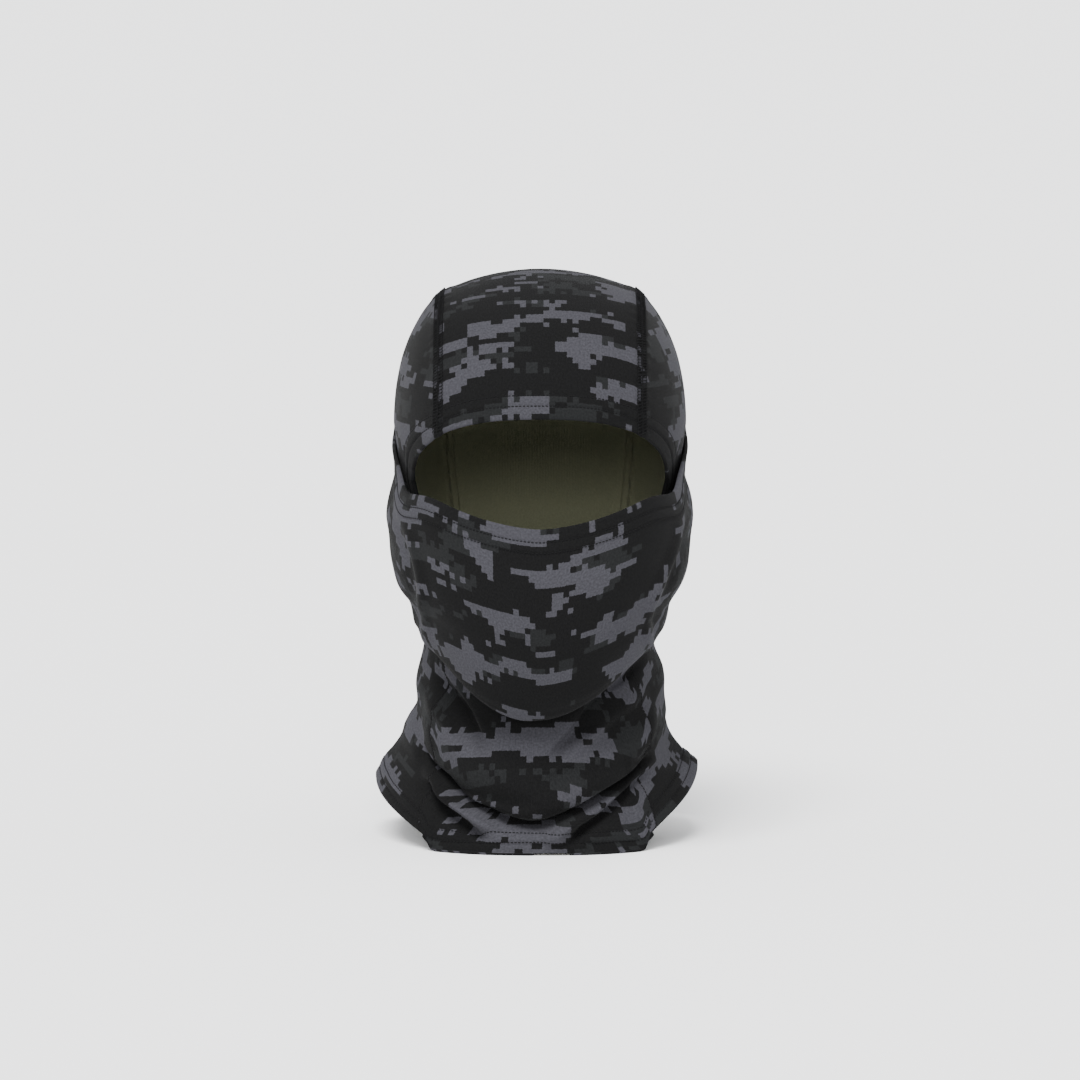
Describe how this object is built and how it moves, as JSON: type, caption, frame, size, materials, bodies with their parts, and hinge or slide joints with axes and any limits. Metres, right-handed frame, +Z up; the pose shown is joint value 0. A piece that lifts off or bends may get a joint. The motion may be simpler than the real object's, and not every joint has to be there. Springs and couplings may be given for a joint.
{
  "type": "balaclava",
  "caption": "Lined tactical balaclava in grey digital camouflage: three-panel hood, eye opening, pull-down face mask and flared neck drape.",
  "frame": {"origin": "on the ground at the centre of the neck opening, below the centre of the head", "axes": "+Z up towards the crown, the face looks along -Y, the wearer's left is +X"},
  "size_m": [0.178, 0.2041, 0.307],
  "materials": {
    "camo_fabric": "matt brushed knit printed with a grey and black digital camouflage",
    "olive_lining": "smooth plain olive knit",
    "black_thread": "matt black polyester sewing thread"
  },
  "bodies": {
    "hood": {"crown_panel": "camo_fabric", "crown_lining": "olive_lining", "side_panel_left": "camo_fabric", "side_panel_right": "camo_fabric", "side_lining_left": "olive_lining", "side_lining_right": "olive_lining", "brow_facing_center": "camo_fabric", "brow_facing_left": "camo_fabric", "brow_facing_right": "camo_fabric", "brow_topstitch": "black_thread", "crown_seam_thread_left": "black_thread", "crown_seam_thread_right": "black_thread", "nape_seam_thread": "black_thread", "neck_front_panel": "camo_fabric", "neck_back_panel": "camo_fabric", "neck_front_lining": "olive_lining", "neck_back_lining": "olive_lining", "neck_hem_front": "camo_fabric", "neck_hem_back": "camo_fabric", "neck_hem_topstitch": "black_thread", "neck_seam_thread_left": "black_thread", "neck_seam_thread_right": "black_thread", "mask_seam_thread_left": "black_thread", "mask_seam_thread_right": "black_thread", "hinge_tack_left": "black_thread", "hinge_tack_right": "black_thread"},
    "face_mask": {"mask_top_hem": "camo_fabric", "mask_topstitch": "black_thread", "mask_panel": "camo_fabric", "mask_lining": "olive_lining"}
  },
  "joints": [
    {"name": "mask_hinge", "type": "hinge", "parent": "hood", "child": "face_mask", "pos_m": [0, 0.027, 0.2117], "axis": [1, 0, 0], "range_deg": [0, 18], "deforming": ["mask_panel", "mask_lining"]}
  ]
}
